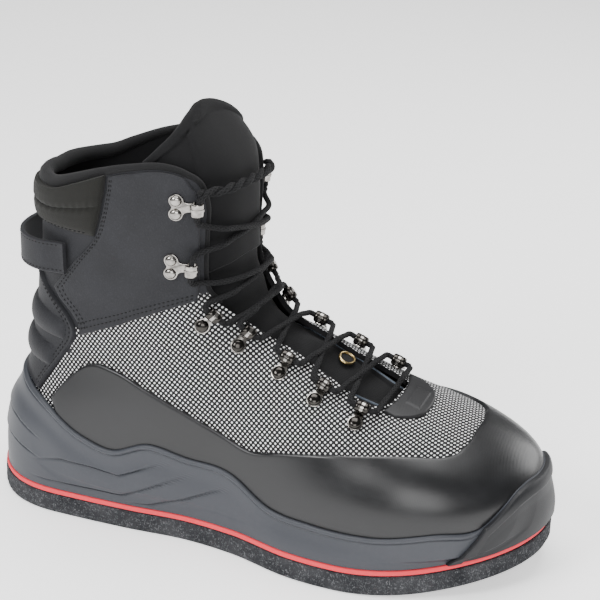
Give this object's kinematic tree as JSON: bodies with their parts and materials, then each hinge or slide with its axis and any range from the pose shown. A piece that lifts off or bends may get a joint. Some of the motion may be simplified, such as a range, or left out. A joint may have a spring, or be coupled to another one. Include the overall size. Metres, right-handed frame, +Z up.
{
  "type": "wading boot",
  "caption": "Right wading boot with a felt sole, rubber cup and toe bumper, hollow mesh and nubuck upper, padded collar, tongue, and a lace through metal loops and hooks.",
  "frame": {"origin": "on the floor, under the middle of the heel's rest", "axes": "+X to the toe, -Y to the boot's outer side, +Z up"},
  "size_m": [0.3235, 0.1259, 0.2401],
  "materials": {
    "felt": "thick matt felt",
    "sole_strip": "matt",
    "rubber": "matt, moulded",
    "coated_leather": "coated, soft sheen",
    "nubuck": "fine nap",
    "dotted_mesh": "woven mesh with pale dots",
    "lining_textile": "matt textile",
    "webbing": "matt strap",
    "nickel": "polished nickel",
    "brass": "dull brass",
    "lace_cord": "round braided cord"
  },
  "bodies": {
    "root": {"felt_outsole": "felt", "sole_strip": "sole_strip", "midsole": "rubber", "toe_bumper": "rubber", "upper": "dotted_mesh", "insole": "lining_textile", "tongue": "lining_textile", "rand": "coated_leather", "ankle_panel_lateral": "nubuck", "ankle_panel_medial": "nubuck", "heel_counter": "nubuck", "back_collar": "lining_textile", "collar_roll": "lining_textile", "throat_tab": "coated_leather", "pull_loop": "webbing", "tongue_keeper": "brass", "lace_loop_lateral_1": "nickel", "lace_loop_lateral_2": "nickel", "lace_loop_lateral_3": "nickel", "lace_loop_lateral_4": "nickel", "lace_loop_lateral_5": "nickel", "lace_hook_lateral_1": "nickel", "lace_hook_lateral_2": "nickel", "lace_loop_medial_1": "nickel", "lace_loop_medial_2": "nickel", "lace_loop_medial_3": "nickel", "lace_loop_medial_4": "nickel", "lace_loop_medial_5": "nickel", "lace_hook_medial_1": "nickel", "lace_hook_medial_2": "nickel", "lace_bar": "lace_cord", "lace_crossing_1": "lace_cord", "lace_crossing_2": "lace_cord", "lace_crossing_3": "lace_cord", "lace_crossing_4": "lace_cord", "lace_crossing_5": "lace_cord", "lace_crossing_6": "lace_cord", "lace_top": "lace_cord"}
  },
  "joints": []
}
